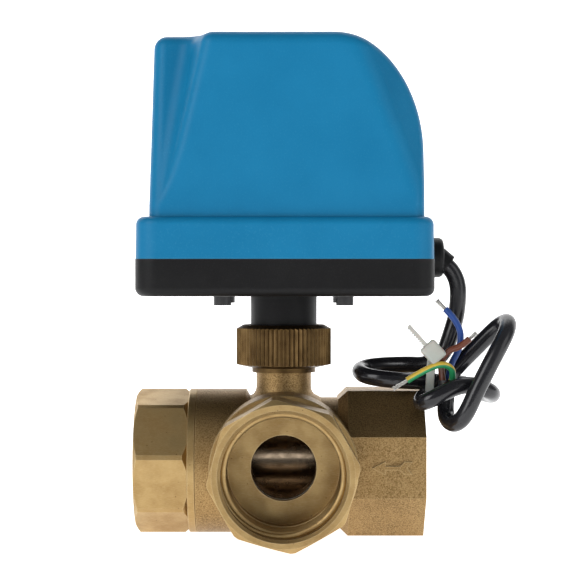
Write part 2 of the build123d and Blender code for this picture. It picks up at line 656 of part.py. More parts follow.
with BuildPart() as upper_posts:
    for x, y in FEET:
        bar(at(x, y), POST_R, PLATE_LOW + PLATE_T, PLATE_HIGH)
        bar(at(x, y), STUD_R, PLATE_HIGH, UPPER_TOP)
        bar(at(x, y), STUD_R, PLATE_LOW + PLATE_T, PLATE_LOW + PLATE_T + 3.2, Mode.SUBTRACT)
finish("upper_posts", upper_posts)

with BuildPart() as frame_screws:
    for x, y in FEET:
        head = Plane(origin=(x, y, BASE_BOTTOM), x_dir=(1, 0, 0), z_dir=(0, 0, -1))
        screw(head, FRAME_SCREW_R - 0.02, 9.5, 2.4, 2.6)
finish("frame_screws", frame_screws)

with BuildPart() as shaft_bushes:
    for low in (PLATE_LOW, PLATE_HIGH):
        ring(Plane.XY, SHAFT_R + RUNNING_FIT, BUSH_R, low, low + PLATE_T)
        ring(Plane.XY, SHAFT_R + RUNNING_FIT, BUSH_FLANGE_R, low - 1, low)
finish("shaft_bushes", shaft_bushes)


# ---------------------------------------------------------------- gears
def gear_outline(teeth, module, turned_by):
    """Corners of an involute gear whose first tooth points along an angle in radians."""
    pitch_r = teeth * module / 2
    base_r = pitch_r * cos(PRESSURE)
    root_r = pitch_r - 1.25 * module
    tip_r = pitch_r + 0.9 * module
    start_r = max(base_r, root_r)
    half_at_pitch = pi / (2 * teeth) - PLAY / pitch_r + tan(PRESSURE) - PRESSURE
    flank = []
    for step in range(FLANK_STEPS + 1):
        radius = start_r + (tip_r - start_r) * step / FLANK_STEPS
        pressure = acos(min(1.0, base_r / radius))
        flank.append((radius, half_at_pitch - tan(pressure) + pressure))
    if start_r > root_r:
        flank.insert(0, (root_r, half_at_pitch))
    tooth = [(radius, -half) for radius, half in flank]
    tooth += [(radius, half) for radius, half in reversed(flank)]
    return [
        (
            radius * cos(turned_by + angle + 2 * pi * number / teeth),
            radius * sin(turned_by + angle + 2 * pi * number / teeth),
        )
        for number in range(teeth)
        for radius, angle in tooth
    ]


def toothed_disc(centre, low, high, teeth, module, turned_by):
    """A gear blank with its teeth, in the open BuildPart."""
    with BuildSketch(at(*centre, low)) as outline:
        with BuildLine():
            Polyline(*gear_outline(teeth, module, turned_by), close=True)
        make_face()
    extrude(outline.sketch, amount=high - low)


IDLER = (IDLER_X, 0)
with BuildPart() as output_gear:
    toothed_disc((0, 0), GEAR_LOW, GEAR_HIGH, OUTPUT_TEETH, OUTPUT_MODULE, pi)
    bar(Plane.XY, HUB_R, GEAR_HIGH, HUB_TOP)
    for place in PolarLocations(11.2, 5):
        bar(at(place.position.X, place.position.Y), 2.4, GEAR_LOW, GEAR_HIGH, Mode.SUBTRACT)
    bar(Plane.XY, SHAFT_R + 0.01, GEAR_LOW, HUB_TOP, Mode.SUBTRACT)
    bar(Plane(origin=(0, 0, PIN_Z), z_dir=(1, 0, 0)), 0.8, -HUB_R, HUB_R, Mode.SUBTRACT)
finish("output_gear", output_gear)

with BuildPart() as gear_pin:
    bar(Plane(origin=(0, 0, PIN_Z), z_dir=(1, 0, 0)), 0.79, -HUB_R, HUB_R)
finish("gear_pin", gear_pin)

with BuildPart() as idler_gear:
    toothed_disc(IDLER, GEAR_LOW - 0.3, WHEEL_LOW, PINION_TEETH, OUTPUT_MODULE, pi / PINION_TEETH)
    toothed_disc(IDLER, WHEEL_LOW, WHEEL_HIGH, WHEEL_TEETH, MOTOR_MODULE, MOTOR_ANGLE)
    bar(at(*IDLER), 2.8, WHEEL_HIGH, PLATE_HIGH - 0.3)
    bar(at(*IDLER), PIN_R + RUNNING_FIT, GEAR_LOW - 0.3, PLATE_HIGH, Mode.SUBTRACT)
finish("idler_gear", idler_gear)

with BuildPart() as idler_pin:
    bar(at(*IDLER), PIN_R, PLATE_LOW, UPPER_TOP)
finish("idler_pin", idler_pin)

with BuildPart() as motor_pinion:
    opposite = MOTOR_ANGLE + pi + pi / MOTOR_TEETH
    toothed_disc(MOTOR_SHAFT, WHEEL_LOW - 0.3, WHEEL_HIGH + 0.3, MOTOR_TEETH, MOTOR_MODULE, opposite)
    bar(at(*MOTOR_SHAFT), 2.6, WHEEL_HIGH + 0.3, PLATE_HIGH - 0.5)
    bar(at(*MOTOR_SHAFT), PIN_R, WHEEL_LOW - 0.3, PLATE_HIGH, Mode.SUBTRACT)
finish("motor_pinion", motor_pinion)

# ---------------------------------------------------------------- gearmotor
END_PLATE_T = 1.0
CAN_WALL = 0.8

with BuildPart() as motor_shaft:
    bar(at(*MOTOR_SHAFT), PIN_R, WHEEL_LOW - 0.6, UPPER_TOP + END_PLATE_T + 4)
finish("motor_shaft", motor_shaft)

with BuildPart() as motor_end_plate:
    with BuildSketch(at(*MOTOR_CENTRE, UPPER_TOP)):
        Circle(MOTOR_R)
        Rectangle(2 * EAR_R, 6, rotation=-45)
        with PolarLocations(EAR_R, 2, start_angle=-45):
            Circle(3)
    extrude(amount=END_PLATE_T)
    bar(at(*MOTOR_SHAFT), MOTOR_BOSS_R - 0.05, PLATE_HIGH + 0.3, UPPER_TOP)
    bar(at(*MOTOR_SHAFT), PIN_R + RUNNING_FIT, PLATE_HIGH, UPPER_TOP + END_PLATE_T, Mode.SUBTRACT)
    for x, y in EARS:
        bar(at(x, y), 1.25, UPPER_TOP, UPPER_TOP + END_PLATE_T, Mode.SUBTRACT)
finish("motor_end_plate", motor_end_plate)

CAN_LOW = UPPER_TOP + END_PLATE_T
with BuildPart() as motor_can:
    turn(
        at(*MOTOR_CENTRE),
        [
            (MOTOR_R - CAN_WALL, CAN_LOW),
            (MOTOR_R, CAN_LOW),
            (MOTOR_R, MOTOR_TOP - 1.2),
            (MOTOR_R - 1.2, MOTOR_TOP),
            (0, MOTOR_TOP),
            (0, MOTOR_TOP - CAN_WALL),
            (MOTOR_R - 1.6, MOTOR_TOP - CAN_WALL),
            (MOTOR_R - CAN_WALL, MOTOR_TOP - 1.6),
        ],
    )
finish("motor_can", motor_can)

with BuildPart() as motor_coil:
    ring(at(*MOTOR_CENTRE), 12, MOTOR_R - CAN_WALL - 0.3, MOTOR_TOP - 10, MOTOR_TOP - 2)
finish("motor_coil", motor_coil)

with BuildPart() as motor_screws:
    for x, y in EARS:
        screw(at(x, y, CAN_LOW), 1.2, CAN_LOW - PLATE_HIGH + 0.6, 2.3, 1.5)
finish("motor_screws", motor_screws)

# ---------------------------------------------------------------- cam and limit switches
LOBE_ANGLES = (0, 90)  # one lobe faces a switch at each end of the quarter turn
LOBE_W = 4.0
SWITCH_TOP = SWITCH_LOW + SWITCH_HEIGHT

with BuildPart() as position_cam:
    with BuildSketch(Plane.XY.offset(CAM_LOW)):
        Circle(CAM_R)
        for angle in LOBE_ANGLES:
            with PolarLocations(LOBE_R - 2, 1, start_angle=angle):
                RectangleRounded(4, LOBE_W, 1.5)
        Circle(SHAFT_R + 0.01, mode=Mode.SUBTRACT)
    extrude(amount=CAM_HIGH - CAM_LOW)
    grub_axis = Plane(origin=(0, 0, (CAM_LOW + CAM_HIGH) / 2), z_dir=(-1, -1, 0))
    bar(grub_axis, 1.01, SHAFT_R - 1, CAM_R + 1, Mode.SUBTRACT)
finish("position_cam", position_cam)

with BuildPart() as cam_grub_screw:
    bar(grub_axis, 1.0, SHAFT_R + 0.05, CAM_R - 0.4)
finish("cam_grub_screw", cam_grub_screw)

TERMINAL_Y = (-7, 0, 7)

with BuildPart() as limit_switches:
    for side in (1, -1):
        with BuildSketch(at(side * (SWITCH_FACE + SWITCH_DEPTH / 2), 0, SWITCH_LOW)):
            RectangleRounded(SWITCH_DEPTH, SWITCH_LENGTH, 0.8)
        extrude(amount=SWITCH_HEIGHT)
        inward = Plane(origin=(0, 0, PLUNGER_Z), z_dir=(side, 0, 0))
        bar(inward, PLUNGER_R + RUNNING_FIT, SWITCH_FACE, SWITCH_FACE + 5, Mode.SUBTRACT)
    for x, y in SWITCH_HOLES:
        bar(at(x, y), 0.85, SWITCH_LOW, SWITCH_TOP, Mode.SUBTRACT)
finish("limit_switches", limit_switches)

with BuildPart() as switch_screws:
    for x, y in SWITCH_HOLES:
        screw(at(x, y, SWITCH_TOP), 0.83, SWITCH_TOP - FLOOR_TOP - 1.2, 1.7, 1.1, 0.4)
finish("switch_screws", switch_screws)

with BuildPart() as switch_terminals:
    for side in (1, -1):
        with Locations(*[(side * (SWITCH_FACE + SWITCH_DEPTH + 1.8), y, PLUNGER_Z) for y in TERMINAL_Y]):
            Box(3.6, 2.8, 0.5)
finish("switch_terminals", switch_terminals)

for side, sign in (("right", 1), ("left", -1)):
    with BuildPart() as plunger:
        outward = Plane(origin=(0, 0, PLUNGER_Z), z_dir=(sign, 0, 0))
        bar(outward, PLUNGER_R, PLUNGER_TIP, PLUNGER_TIP + 4.8)
        chamfer(plunger.edges().sort_by_distance((sign * PLUNGER_TIP, 0, PLUNGER_Z))[0], 0.4)
    finish(f"{side}_limit_plunger", plunger)

# ---------------------------------------------------------------- circuit board
BOARD_TOP = BOARD_Z + BOARD_T
BLOCK_X, BLOCK_Y, BLOCK_W, BLOCK_D, BLOCK_H = 28.3, -8.0, 7.4, 15.0, 9.0
WAYS = (-13.0, -8.0, -3.0)
WAY_Z = BOARD_TOP + 3.4

with BuildPart() as circuit_board:
    with BuildSketch(at(BOARD_X, 0, BOARD_Z)):
        RectangleRounded(BOARD_W, BOARD_D, 1)
    extrude(amount=BOARD_T)
    for x, y in STANDOFFS:
        bar(at(x, y), BOARD_SCREW_R + 0.1, BOARD_Z, BOARD_TOP, Mode.SUBTRACT)
finish("circuit_board", circuit_board)

with BuildPart() as board_standoffs:
    for x, y in STANDOFFS:
        ring(at(x, y), BOARD_SCREW_R + 0.02, 2.3, UPPER_TOP, BOARD_Z)
finish("board_standoffs", board_standoffs)

with BuildPart() as board_screws:
    for x, y in STANDOFFS:
        screw(at(x, y, BOARD_TOP), BOARD_SCREW_R, BOARD_T + 3.5, 2.0, 1.3, 0.5)
finish("board_screws", board_screws)

with BuildPart() as terminal_block:
    with BuildSketch(at(BLOCK_X, BLOCK_Y, BOARD_TOP)):
        Rectangle(BLOCK_W, BLOCK_D)
    extrude(amount=BLOCK_H)
    chamfer(terminal_block.faces().sort_by(Axis.Z)[-1].edges(), 0.6)
    for way in WAYS:
        entry = Plane(origin=(BLOCK_X, way, WAY_Z), z_dir=(1, 0, 0))
        bar(entry, CORE_R + 0.1, -1, 5, Mode.SUBTRACT)
        bar(at(BLOCK_X, way), 1.9, BOARD_TOP + BLOCK_H - 1.6, BOARD_TOP + BLOCK_H, Mode.SUBTRACT)
        bar(at(BLOCK_X, way), 1.0, BOARD_TOP + BLOCK_H - 3.2, BOARD_TOP + BLOCK_H, Mode.SUBTRACT)
finish("terminal_block", terminal_block)

with BuildPart() as terminal_screws:
    for way in WAYS:
        screw(at(BLOCK_X, way, BOARD_TOP + BLOCK_H - 1.6), 0.95, 1.5, 1.7, 1.2, 0.5)
finish("terminal_screws", terminal_screws)

with BuildPart() as relay:
    with BuildSketch(at(24.0, 7.6, BOARD_TOP)):
        Rectangle(12.0, 10.6)
    extrude(amount=11.5)
    chamfer(relay.faces().sort_by(Axis.Z)[-1].edges(), 0.5)
finish("relay", relay)

with BuildPart() as suppression_capacitor:
    with BuildSketch(at(20.3, -8.0, BOARD_TOP)):
        RectangleRounded(5.4, 11.5, 1.2)
    extrude(amount=9.5)
finish("suppression_capacitor", suppression_capacitor)

# ---------------------------------------------------------------- cable entry and inner leads
# Where the cable runs free: out of the gland, down beside the housing and into the tied bundle.
LEAD_ROUTE = [
    (45.3, -8.0, 76.0),
    (48.9, -8.0, 73.0),
    (48.7, -8.0, 62.8),
    (46.6, -8.0, 56.0),
    (44.9, -7.9, 51.0),
]
GLAND_OUT = Vector(*LEAD_ROUTE[1]) - Vector(*LEAD_ROUTE[0])
GLAND_PLANE = Plane(origin=LEAD_ROUTE[0], z_dir=GLAND_OUT)
HOUSING_SIDE = BASE_X + BASE_W / 2
INNER_END = HOUSING_SIDE - WALL - 1.6

with BuildPart() as cable_gland:
    bar(CABLE_HOLE, GLAND_R, HOUSING_SIDE + 0.1, GLAND_FACE)
    fillet(cable_gland.faces().sort_by(Axis.X)[-1].edges(), 1.4)
    bar(CABLE_HOLE, HOLE_R - 0.05, HOUSING_SIDE - WALL - 0.2, HOUSING_SIDE + 0.2)
    bar(CABLE_HOLE, GLAND_R - 0.4, INNER_END, HOUSING_SIDE - WALL - 0.15)
    bar(GLAND_PLANE, CABLE_R + 0.9, -4.4, 0.6)
    bar(GLAND_PLANE, CABLE_R + 0.01, 0, 5, Mode.SUBTRACT)
finish("cable_gland", cable_gland)


def arc_radii(points, most=60.0):
    """The radius of each inner corner: 0.45 of the shorter run over the tangent of half the turn."""
    places = [Vector(*point) for point in points]
    radii = []
    for before, here, after in zip(places, places[1:], places[2:]):
        half_turn = radians((here - before).get_angle(after - here)) / 2
        radii.append(min(most, 0.45 * min((here - before).length, (after - here).length) / tan(half_turn)))
    return radii


def wire(points, radius):
    """A round wire along straight runs joined by tangent arcs, in the open BuildPart."""
    with BuildLine() as route:
        FilletPolyline(*points, radius=arc_radii(points))
    start = Plane(origin=points[0], z_dir=Vector(*points[1]) - Vector(*points[0]))
    with BuildSketch(start) as section:
        Circle(radius)
    sweep(section.sketch, path=route.line)
    return sum(edge.length for edge in route.edges())


def report_route(name, points, length):
    """Prints the bend radii and the length of a wire's route."""
    print(name, "radii", [round(radius, 1) for radius in arc_radii(points)], "length", round(length, 1))


with BuildPart() as internal_leads:
    for number, way in enumerate(WAYS):
        entry_y = GLAND_Y + 2.2 * (number - 1)
        corner, rise = (LEAD_X, entry_y, GLAND_Z), (LEAD_X, way, WAY_Z)
        wire([(INNER_END, entry_y, GLAND_Z), corner, rise, (BLOCK_X - 0.8, way, WAY_Z)], CORE_R)
finish("internal_leads", internal_leads)

with BuildPart() as cable_lead:
    lead_length = wire(LEAD_ROUTE, CABLE_R)
finish("cable_lead", cable_lead)
report_route("cable lead", LEAD_ROUTE, lead_length)
tube_volume = pi * CABLE_R**2 * lead_length
print("cable lead volume over section times length", round(cable_lead.part.volume / tube_volume, 4))

# ---------------------------------------------------------------- tied bundle of cable
def slab(outline, front, back):
    """An upright slab: an outline of (x, z) points taken through from its front to its back."""
    with BuildSketch(Plane.XZ.offset(-back)) as face:
        with BuildLine():
            Polyline(*outline, close=True)
        make_face()
    extrude(face.sketch, amount=back - front)


def block(x, z, front, back):
    """A rectangular slab between two x and two z."""
    slab([(x[0], z[0]), (x[1], z[0]), (x[1], z[1]), (x[0], z[1])], front, back)


with BuildPart() as cable_bundle:
    block((19.4, 39.8), (41.1, 49.8), -13.6, 6.4)  # the loop that lies over the right port
    block((39.6, 44.0), (38.3, 50.4), -16.6, -3.4)  # where the tie holds the strands
    block((43.9, 47.2), (43.0, 50.8), -10.6, -5.2)  # the strand that comes down from the gland
    block((43.9, 63.2), (37.1, 44.0), -25.4, -2.3)
    block((36.0, 44.2), (36.0, 43.6), -25.4, -18.4)  # the strand in front of the port
    slab([(44.4, 42.0), (50.0, 42.0), (64.0, 57.0), (60.0, 61.6), (44.4, 48.0)], -13.8, -7.2)
    slab([(43.0, 33.0), (46.0, 30.4), (50.0, 32.0), (65.0, 56.0), (63.6, 60.6), (60.0, 60.6)], -28.6, -20.2)
    slab([(57.6, 54.0), (62.8, 52.6), (65.2, 57.0), (63.4, 61.6), (59.4, 61.6)], -28.6, -7.2)
    slab([(43.9, 37.0), (43.9, 32.6), (46.0, 30.4), (50.0, 32.6), (50.8, 37.0)], -28.6, -14.0)
finish("cable_bundle", cable_bundle)

TIE_X = (39.9, 42.2)
TIE_TILT = radians(42)
TIE_PLANE = Plane(origin=(41.6, -19.95, 52.2), x_dir=(cos(TIE_TILT), 0, -sin(TIE_TILT)), z_dir=(0, -1, 0))

with BuildPart() as cable_tie:
    block(TIE_X, (37.1, 51.6), -17.95, -2.1)
    with BuildSketch(Plane(origin=(TIE_X[0] - 1, -10, 44.4), x_dir=(0, 1, 0), z_dir=(1, 0, 0))) as opening:
        Rectangle(13.4, 12.4)
    extrude(opening.sketch, amount=5, mode=Mode.SUBTRACT)
    with BuildSketch(TIE_PLANE.offset(-2.1)) as head:
        RectangleRounded(4.8, 5.6, 0.8)
    extrude(head.sketch, amount=4.1)
    with BuildSketch(TIE_PLANE.offset(-1.2)) as tail:
        with Locations((-0.4, 6.0)):
            Rectangle(1.2, 7.0)
    extrude(tail.sketch, amount=2.4)
finish("cable_tie", cable_tie)

# Each core's route, from the end of the jacket to the end of its insulation, and its bare length.
CORES = {
    "blue": (
        [
            (45.8, -15.4, 44.2),
            (46.0, -15.1, 48.2),
            (48.9, -15.0, 53.6),
            (48.6, -14.8, 59.0),
            (45.0, -14.6, 63.3),
        ],
        3.8,
    ),
    "brown": (
        [(45.0, -18.2, 44.3), (45.3, -17.4, 48.2), (47.4, -17.9, 52.4), (50.8, -18.2, 55.3)],
        3.0,
    ),
    "green_yellow": (
        [(47.5, -18.6, 44.3), (47.2, -19.4, 47.0), (42.8, -20.6, 47.7), (33.9, -20.6, 44.4)],
        5.0,
    ),
}
for colour, (route, bare) in CORES.items():
    with BuildPart() as core:
        core_length = wire(route, CORE_R)
    finish(f"{colour}_core", core)
    report_route(f"{colour} core", route, core_length)

with BuildPart() as bare_core_ends:
    for route, bare in CORES.values():
        end = Vector(*route[-1])
        bar(Plane(origin=end, z_dir=end - Vector(*route[-2])), STRAND_R, 0, bare)
finish("bare_core_ends", bare_core_ends)
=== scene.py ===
"""Looks of the zone valve: cable, cable tie, pipe threads, every material and the studio."""

import json
from math import cos, degrees, pi, radians, sin

import bmesh
import bpy
from mathutils import Matrix, Vector


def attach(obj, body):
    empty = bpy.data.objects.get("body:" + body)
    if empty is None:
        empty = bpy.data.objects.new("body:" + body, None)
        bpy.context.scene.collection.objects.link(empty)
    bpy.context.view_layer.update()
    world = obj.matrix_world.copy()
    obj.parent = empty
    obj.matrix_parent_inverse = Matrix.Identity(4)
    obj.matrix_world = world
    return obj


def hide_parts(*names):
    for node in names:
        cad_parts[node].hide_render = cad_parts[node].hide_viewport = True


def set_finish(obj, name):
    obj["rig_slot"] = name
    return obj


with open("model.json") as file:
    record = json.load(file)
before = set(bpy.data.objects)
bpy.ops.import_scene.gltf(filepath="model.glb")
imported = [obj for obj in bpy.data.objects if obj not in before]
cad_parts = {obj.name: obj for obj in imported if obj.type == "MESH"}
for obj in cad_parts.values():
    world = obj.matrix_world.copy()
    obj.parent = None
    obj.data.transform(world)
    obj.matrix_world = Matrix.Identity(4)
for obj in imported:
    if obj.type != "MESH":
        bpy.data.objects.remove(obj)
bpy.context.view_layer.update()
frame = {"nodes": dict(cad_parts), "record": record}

# Sizes and places are in millimetres, apart from the cable's length, the camera and the studio, in metres.
MM = 0.001
X, Y, Z = Vector((1, 0, 0)), Vector((0, 1, 0)), Vector((0, 0, 1))

PORT_Z = 20.3  # height of the port axes
CABLE_R = 2.33
CORE_R = 0.9


# ---------------------------------------------------------------- camera
CAMERA_PLACE = (0.0012, -0.505, 0.0758)  # metres
CAMERA_DIP = 0.74  # degrees below the horizon

camera_data = bpy.data.cameras.new("camera")
camera_data.lens = 111.0
camera_data.sensor_width = 36.0
camera = bpy.data.objects.new("camera", camera_data)
camera.location = CAMERA_PLACE
camera.rotation_euler = (radians(90 - CAMERA_DIP), 0, 0)
bpy.context.scene.collection.objects.link(camera)
bpy.context.scene.camera = camera


# ---------------------------------------------------------------- building pieces
def metres(points):
    """The points in Blender's own unit."""
    return [tuple(c * MM for c in point) for point in points]


def turned(first, second, angle):
    """The direction that many radians round from the first towards the second."""
    return first * cos(angle) + second * sin(angle)


def link(name, data):
    """An object with that mesh or curve, riding on the valve."""
    piece = bpy.data.objects.new(name, data)
    bpy.context.scene.collection.objects.link(piece)
    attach(piece, "valve")
    return piece


def fill(data, work, smooth):
    """Moves a bmesh into a mesh, with its faces turned outward."""
    bmesh.ops.recalc_face_normals(work, faces=work.faces)
    work.to_mesh(data)
    work.free()
    for face in data.polygons:
        face.use_smooth = smooth
    return data


def tube_piece(name, tubes, closed=False, smooth=True):
    """A mesh of tubes, each through its own rings of points.

    A tube is capped at both ends, or closed: its last ring joins its first.
    """
    points, faces = [], []
    for rings in tubes:
        base, corners = len(points), len(rings[0])
        for ring in rings:
            points += ring
        for number in range(len(rings) if closed else len(rings) - 1):
            low = base + number * corners
            high = base + (number + 1) % len(rings) * corners
            for corner in range(corners):
                side = (corner + 1) % corners
                faces.append((low + corner, low + side, high + side, high + corner))
        if not closed:
            faces += [tuple(range(base, base + corners)), tuple(range(len(points) - corners, len(points)))]
    data = bpy.data.meshes.new(name)
    data.from_pydata(metres(points), [], faces)
    work = bmesh.new()
    work.from_mesh(data)
    return link(name, fill(data, work, smooth))


def rounded_box(name, centre, axes, sizes, bevel):
    """A box along three axes with rounded edges."""
    work = bmesh.new()
    bmesh.ops.create_cube(work, size=1.0)
    turn = Matrix(axes).transposed()
    for vertex in work.verts:
        local = Vector([share * size for share, size in zip(vertex.co, sizes)])
        vertex.co = (centre + turn @ local) * MM
    bmesh.ops.bevel(work, geom=list(work.edges), offset=bevel * MM, segments=3, profile=0.6, affect="EDGES")
    return link(name, fill(bpy.data.meshes.new(name), work, smooth=True))


def strand(name, points, radius):
    """A round strand along a smooth line: one open NURBS spline with those control points.

    The thickness is in the points' own radius, because a curve's box counts that radius
    whatever its bevel depth is.
    """
    data = bpy.data.curves.new(name, "CURVE")
    data.dimensions = "3D"
    data.resolution_u = 16
    data.bevel_depth = 1.0
    data.bevel_resolution = 8
    data.use_fill_caps = True
    spline = data.splines.new("NURBS")
    spline.points.add(len(points) - 1)
    for knot, point in zip(spline.points, metres(points)):
        knot.co = (*point, 1.0)
        knot.radius = radius * MM
    spline.order_u = 3
    spline.use_endpoint_u = True
    return link(name, data)


def centre_line(curve):
    """Points along a curve's own line."""
    bare = curve.data.copy()
    bare.bevel_depth = 0
    probe = bpy.data.objects.new("probe", bare)
    line = bpy.data.meshes.new_from_object(probe)
    points = [Vector(v.co) / MM for v in line.vertices]
    bpy.data.meshes.remove(line)
    bpy.data.objects.remove(probe)
    bpy.data.curves.remove(bare)
    return points


# ---------------------------------------------------------------- cable
LEAD = [
    (45.3, -8.0, 76.0),
    (48.9, -8.0, 73.0),
    (48.7, -8.0, 62.8),
    (46.6, -8.0, 56.0),
    (44.9, -7.9, 51.0),
]
HANK = [
    (40.5, -5.0, 47.6),
    (34.4, 0.2, 47.6),
    (21.8, 3.6, 46.8),
    (21.4, -9.0, 44.8),
    (30.5, -11.2, 43.8),
    (38.5, -8.2, 43.2),
    (45.0, -5.6, 43.0),
    (52.0, -4.6, 42.2),
    (57.9, -6.2, 38.8),
    (57.7, -19.0, 41.0),
    (51.4, -20.2, 43.2),
    (46.4, -22.0, 42.6),
    (37.6, -24.0, 38.0),
    (37.8, -14.2, 38.8),
    (43.4, -11.7, 42.6),
    (49.4, -11.6, 48.8),
    (53.0, -11.3, 52.3),
    (61.4, -10.8, 60.8),
    (61.8, -21.4, 59.2),
    (56.6, -25.0, 50.4),
    (52.0, -26.0, 41.6),
    (47.8, -26.3, 32.4),
    (44.2, -17.8, 33.0),
    (44.8, -16.9, 40.0),
    (44.6, -16.8, 44.2),
]
SHARP_TURN = 50  # degrees
CORNER_CUT = 0.29  # share of each side that a sharp corner is cut back by


def rounded(points):
    """The control points with each sharp corner cut into two, so that it turns in an arc."""
    result = [points[0]]
    for before, corner, after in zip(points, points[1:], points[2:]):
        corner = Vector(corner)
        back, ahead = Vector(before) - corner, Vector(after) - corner
        if 180 - degrees(back.angle(ahead)) > SHARP_TURN:
            result += [tuple(corner + back * CORNER_CUT), tuple(corner + ahead * CORNER_CUT)]
        else:
            result.append(tuple(corner))
    return [*result, points[-1]]


cable = strand("supply_cable", LEAD + rounded(HANK), CABLE_R)
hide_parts("cable_lead", "cable_bundle")
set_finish(cable, "cable_jacket")

CORES = {
    "blue": [
        (45.2, -15.7, 42.0),
        (45.4, -15.1, 47.4),
        (48.9, -15.0, 53.0),
        (48.8, -14.8, 59.6),
        (44.6, -14.6, 63.7),
    ],
    "brown": [
        (44.2, -17.3, 42.0),
        (42.6, -17.6, 48.4),
        (45.0, -18.2, 52.4),
        (48.6, -18.4, 53.4),
        (51.0, -18.4, 55.6),
    ],
    "green_yellow": [
        (45.6, -17.2, 42.0),
        (47.0, -18.8, 46.2),
        (44.4, -20.6, 49.0),
        (39.6, -20.9, 47.9),
        (33.7, -20.9, 44.3),
    ],
}
cores = {}
for colour, points in CORES.items():
    core = strand(f"{colour}_insulation", points, CORE_R)
    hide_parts(f"{colour}_core")
    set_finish(core, f"{colour}_insulation")
    cores[colour] = core


# ---------------------------------------------------------------- bare strands
BARE_LENGTH = {"blue": 3.8, "brown": 3.0, "green_yellow": 5.0}
WIRE_R, WIRE_RING_R = 0.17, 0.34
RING_WIRES = 6  # round one more, which is straight
WIRE_STEPS, WIRE_SIDES = 14, 8
WIRE_TWIST = 3.2  # radians over the bare length
WIRE_HIDDEN = 0.4  # length that starts inside the insulation
WIRE_FRAY = 0.5  # how much wider the ring of wires is at its end
WIRE_UNEVEN = 0.05  # share of the bare length between one wire's end and the next


def twisted(name, start, direction, length):
    """Fine wires twisted together, fraying a little at their end; they go on from a core's end."""
    along = direction.normalized()
    side = along.cross(Y).normalized()
    other = along.cross(side)
    round_wire = [turned(side, other, 2 * pi * corner / WIRE_SIDES) * WIRE_R for corner in range(WIRE_SIDES)]
    wires = []
    for wire in range(RING_WIRES + 1):
        ring_r = 0.0 if wire == RING_WIRES else WIRE_RING_R
        reach = length * (1 - WIRE_UNEVEN * (wire % 3))
        rings = []
        for step in range(WIRE_STEPS + 1):
            part = step / WIRE_STEPS
            angle = 2 * pi * wire / RING_WIRES + WIRE_TWIST * part
            out = ring_r * (1 + WIRE_FRAY * part**3)
            middle = start + along * (reach * part - WIRE_HIDDEN) + turned(side, other, angle) * out
            rings.append([middle + corner for corner in round_wire])
        wires.append(rings)
    piece = tube_piece(name, wires)
    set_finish(piece, "tinned_wire")
    return piece


strands = []
for colour, core in cores.items():
    line = centre_line(core)
    strands.append(twisted(f"{colour}_strands", line[-1], line[-1] - line[-3], BARE_LENGTH[colour]))
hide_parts("bare_core_ends")


# ---------------------------------------------------------------- cable tie
HELD = [(-5.2, 47.8, 2.5), (-8.2, 43.3, 2.5), (-13.6, 41.3, 2.5), (-17.0, 50.6, 0.7)]  # y, z, radius
BAND_STEPS = 48

STRAP_W, STRAP_T = 2.3, 0.95
STRAP_SECTION = ((-1, 0), (-1, 0.7), (-0.8, 1), (0.8, 1), (1, 0.7), (1, 0))  # shares of half W and of T
TIE_TOP_X, TIE_LOW_X, TIE_TOP_Z, TIE_LOW_Z = 40.6, 39.9, 50.0, 37.5

TIE_TILT = radians(42)
TIE_HEAD = Vector((40.9, -19.6, 52.0))
TIE_HEAD_SIZE, TIE_HEAD_BEVEL = (5.0, 3.6, 5.6), 0.9
TAIL_ALONG = Vector((-sin(TIE_TILT), 0, cos(TIE_TILT)))
TAIL_ACROSS = Vector((cos(TIE_TILT), 0, sin(TIE_TILT)))

TEETH = 9
TAIL_START, TAIL_PITCH = 2.4, 0.78
TAIL_HALF_W, TAIL_BACK, TAIL_SHIFT = 1.1, -0.55, 0.2
TOOTH_LOW, TOOTH_HIGH, TOOTH_RISE = 0.35, 0.85, 0.8  # the rise is a share of the pitch
TIP_LENGTH, TIP_HIGH = 0.5, 0.2


def taut_band(circles):
    """Points and outward directions of the taut band round some circles in the YZ plane."""
    band = []
    for step in range(BAND_STEPS):
        angle = 2 * pi * step / BAND_STEPS
        outward = Vector((cos(angle), sin(angle)))
        y, z, radius = max(circles, key=lambda c: c[0] * outward.x + c[1] * outward.y + c[2])
        band.append((Vector((y, z)) + outward * radius, outward))
    return band


def strap():
    """The strap round the cable. It leans, so its place along X goes with its height."""
    rings = []
    for point, outward in taut_band(HELD):
        share = (point.y - TIE_LOW_Z) / (TIE_TOP_Z - TIE_LOW_Z)
        x = TIE_LOW_X + share * (TIE_TOP_X - TIE_LOW_X)
        ring = []
        for across, out in STRAP_SECTION:
            place = point + outward * STRAP_T * out
            ring.append((x + across * STRAP_W / 2, place.x, place.y))
        rings.append(ring)
    return tube_piece("tie_strap", [rings], closed=True, smooth=False)


def tail():
    """The strap's toothed tail, which stands out of the head."""
    profile = []
    for tooth in range(TEETH):
        low = TAIL_START + tooth * TAIL_PITCH
        profile += [(low, TOOTH_LOW), (low + TAIL_PITCH * TOOTH_RISE, TOOTH_HIGH)]
    profile.append((TAIL_START + TEETH * TAIL_PITCH + TIP_LENGTH, TIP_HIGH))
    rings = []
    for along, high in profile:
        middle = TIE_HEAD + TAIL_ALONG * along
        ring = []
        for across, side in ((TAIL_BACK, -1), (high, -1), (high, 1), (TAIL_BACK, 1)):
            ring.append(middle - TAIL_ACROSS * (across + TAIL_SHIFT) + Y * (side * TAIL_HALF_W))
        rings.append(ring)
    return tube_piece("tie_tail", [rings], smooth=False)


tie_strap = strap()
tie_head = rounded_box("tie_head", TIE_HEAD, (TAIL_ACROSS, Y, TAIL_ALONG), TIE_HEAD_SIZE, TIE_HEAD_BEVEL)
tie_tail = tail()
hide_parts("cable_tie")
for piece in (tie_strap, tie_head, tie_tail):
    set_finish(piece, "tie_nylon")


